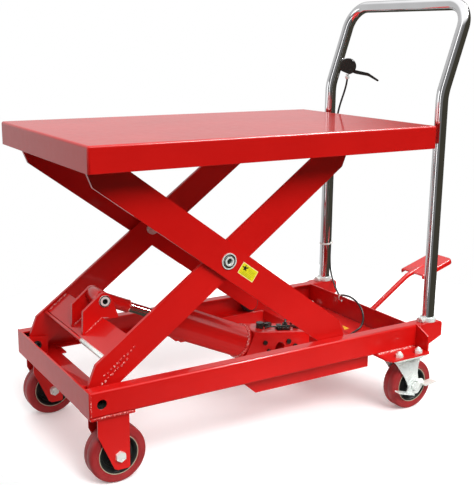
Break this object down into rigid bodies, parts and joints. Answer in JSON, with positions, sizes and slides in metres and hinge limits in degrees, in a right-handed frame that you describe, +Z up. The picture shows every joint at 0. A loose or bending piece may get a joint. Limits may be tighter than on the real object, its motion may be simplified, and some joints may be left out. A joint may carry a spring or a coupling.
{
  "type": "scissor lift table",
  "caption": "Hand-pushed hydraulic scissor lift table with a flat deck, crossed arms, foot pump, tubular push handle and swivel casters with brakes.",
  "frame": {"origin": "middle of the footprint on the floor", "axes": "+X from the table's front end towards the push handle, +Y to the leg with the release lever, +Z up"},
  "size_m": [1.111, 0.528, 0.949],
  "materials": {
    "red_paint": "glossy red powder coat",
    "zinc": "bright zinc plating",
    "chrome": "polished chrome plating",
    "red_tyre": "red polyurethane tread",
    "black_plastic": "moulded black nylon",
    "black_fittings": "black moulded and blackened fittings",
    "roller_nylon": "dark nylon",
    "cable_casing": "black casing",
    "tie_nylon": "natural nylon"
  },
  "bodies": {
    "root": {"near_rail": "red_paint", "far_rail": "red_paint", "front_channel": "red_paint", "rear_panel": "red_paint", "pump_cradle": "red_paint", "front_pivot_plates": "red_paint", "base_pivot_pins": "zinc", "front_forks": "red_paint", "wheel_bolts": "zinc", "caster_plates": "red_paint", "caster_top_plates": "zinc", "handle_brackets": "red_paint", "handle_collars": "zinc", "handle_tube": "chrome", "lever_housing": "black_fittings", "cable_adjuster": "zinc", "release_cable": "cable_casing", "cable_ties": "tie_nylon", "pedal_hinge": "zinc"},
    "inner_arms": {"near_inner_arm": "red_paint", "far_inner_arm": "red_paint", "arm_cross_plate": "red_paint", "cylinder_lugs": "red_paint", "clevis_pin": "zinc", "tie_shaft": "red_paint", "tie_sleeve": "zinc", "centre_pins": "zinc", "upper_roller_axles": "zinc"},
    "outer_arms": {"near_outer_arm": "red_paint", "far_outer_arm": "red_paint", "lower_roller_axles": "zinc", "outer_cross_plate": "red_paint"},
    "table": {"table_top": "red_paint", "roller_tracks": "red_paint", "table_pivot_plates": "red_paint", "table_pivot_pins": "zinc"},
    "rod": {"rod_end": "red_paint", "piston_rod": "chrome"},
    "cylinder": {"cylinder_tube": "red_paint", "pump_block": "red_paint", "pump_fittings": "black_fittings"},
    "plunger": {"pump_plunger": "zinc"},
    "pedal": {"pedal": "red_paint"},
    "release_lever": {"release_lever": "black_fittings"},
    "near_lower_roller": {"near_lower_roller": "roller_nylon"},
    "near_upper_roller": {"near_upper_roller": "roller_nylon"},
    "near_front_wheel": {"near_front_tyre": "red_tyre", "near_front_hub": "black_plastic"},
    "near_swivel": {"near_swivel_fork": "zinc"},
    "near_rear_wheel": {"near_rear_tyre": "red_tyre", "near_rear_hub": "black_plastic"},
    "near_brake": {"near_brake_lever": "zinc"},
    "far_lower_roller": {"far_lower_roller": "roller_nylon"},
    "far_upper_roller": {"far_upper_roller": "roller_nylon"},
    "far_front_wheel": {"far_front_tyre": "red_tyre", "far_front_hub": "black_plastic"},
    "far_swivel": {"far_swivel_fork": "zinc"},
    "far_rear_wheel": {"far_rear_tyre": "red_tyre", "far_rear_hub": "black_plastic"},
    "far_brake": {"far_brake_lever": "zinc"}
  },
  "joints": [
    {"name": "lift", "type": "hinge", "parent": "root", "child": "inner_arms", "pos_m": [-0.5265, 0, 0.1761], "axis": [0, -1, 0], "range_deg": [-29.5, 23]},
    {"name": "scissor", "type": "hinge", "parent": "inner_arms", "child": "outer_arms", "pos_m": [-0.23171, 0, 0.4135], "axis": [0, -1, 0], "range_deg": [-46.2, 59.2]},
    {"name": "table_level", "type": "hinge", "parent": "outer_arms", "child": "table", "pos_m": [-0.5265, 0, 0.6509], "axis": [0, -1, 0], "range_deg": [-29.6, 23.1]},
    {"name": "rod_pivot", "type": "hinge", "parent": "inner_arms", "child": "rod", "pos_m": [-0.4415, 0, 0.32], "axis": [0, -1, 0], "range_deg": [-24.63, 31.56]},
    {"name": "cylinder_stroke", "type": "slide", "parent": "rod", "child": "cylinder", "axis": [0.9098, 0, -0.4151], "range_m": [-0.08062, 0.0629]},
    {"name": "pedal_press", "type": "hinge", "parent": "root", "child": "pedal", "pos_m": [0.1165, 0, 0.136], "axis": [0, 1, 0], "range_deg": [0, 16], "stiffness_Nm_per_rad": 8, "springref_deg": -28.65},
    {"name": "plunger_stroke", "type": "slide", "parent": "cylinder", "child": "plunger", "axis": [-1, 0, 0], "range_m": [-0.0001, 0.0062]},
    {"name": "release_lever_press", "type": "hinge", "parent": "root", "child": "release_lever", "pos_m": [0.35011, 0.18329, 0.778], "axis": [-0.7071, -0.7071, 0], "range_deg": [0, 20], "stiffness_Nm_per_rad": 0.6, "springref_deg": -22.92},
    {"name": "near_lower_roller_spin", "type": "hinge", "parent": "outer_arms", "child": "near_lower_roller", "pos_m": [0.06309, -0.198, 0.1761], "axis": [0, 1, 0], "continuous": true},
    {"name": "near_upper_roller_spin", "type": "hinge", "parent": "inner_arms", "child": "near_upper_roller", "pos_m": [0.06309, -0.198, 0.6509], "axis": [0, 1, 0], "continuous": true},
    {"name": "near_front_wheel_spin", "type": "hinge", "parent": "root", "child": "near_front_wheel", "pos_m": [-0.4905, -0.187, 0.06], "axis": [0, 1, 0], "continuous": true},
    {"name": "near_swivel_turn", "type": "hinge", "parent": "root", "child": "near_swivel", "pos_m": [0.2145, -0.208, 0.13], "axis": [0, 0, 1], "continuous": true},
    {"name": "near_rear_wheel_spin", "type": "hinge", "parent": "near_swivel", "child": "near_rear_wheel", "pos_m": [0.2535, -0.208, 0.06], "axis": [0, 1, 0], "continuous": true},
    {"name": "near_brake_press", "type": "hinge", "parent": "near_swivel", "child": "near_brake", "pos_m": [0.2535, -0.208, 0.06], "axis": [0, 1, 0], "range_deg": [0, 14]},
    {"name": "far_lower_roller_spin", "type": "hinge", "parent": "outer_arms", "child": "far_lower_roller", "pos_m": [0.06309, 0.198, 0.1761], "axis": [0, 1, 0], "continuous": true},
    {"name": "far_upper_roller_spin", "type": "hinge", "parent": "inner_arms", "child": "far_upper_roller", "pos_m": [0.06309, 0.198, 0.6509], "axis": [0, 1, 0], "continuous": true},
    {"name": "far_front_wheel_spin", "type": "hinge", "parent": "root", "child": "far_front_wheel", "pos_m": [-0.4905, 0.187, 0.06], "axis": [0, 1, 0], "continuous": true},
    {"name": "far_swivel_turn", "type": "hinge", "parent": "root", "child": "far_swivel", "pos_m": [0.2145, 0.208, 0.13], "axis": [0, 0, 1], "continuous": true},
    {"name": "far_rear_wheel_spin", "type": "hinge", "parent": "far_swivel", "child": "far_rear_wheel", "pos_m": [0.2535, 0.208, 0.06], "axis": [0, 1, 0], "continuous": true},
    {"name": "far_brake_press", "type": "hinge", "parent": "far_swivel", "child": "far_brake", "pos_m": [0.2535, 0.208, 0.06], "axis": [0, 1, 0], "range_deg": [0, 14]}
  ],
  "couplings": [
    {"joint": "scissor", "follows": "lift", "ratio": -2},
    {"joint": "table_level", "follows": "lift", "ratio": 1},
    {"joint": "rod_pivot", "follows": "lift", "ratio": -1.0666},
    {"joint": "cylinder_stroke", "follows": "lift", "m_per_rad": 0.15619},
    {"joint": "plunger_stroke", "follows": "pedal_press", "m_per_rad": 0.0214}
  ]
}
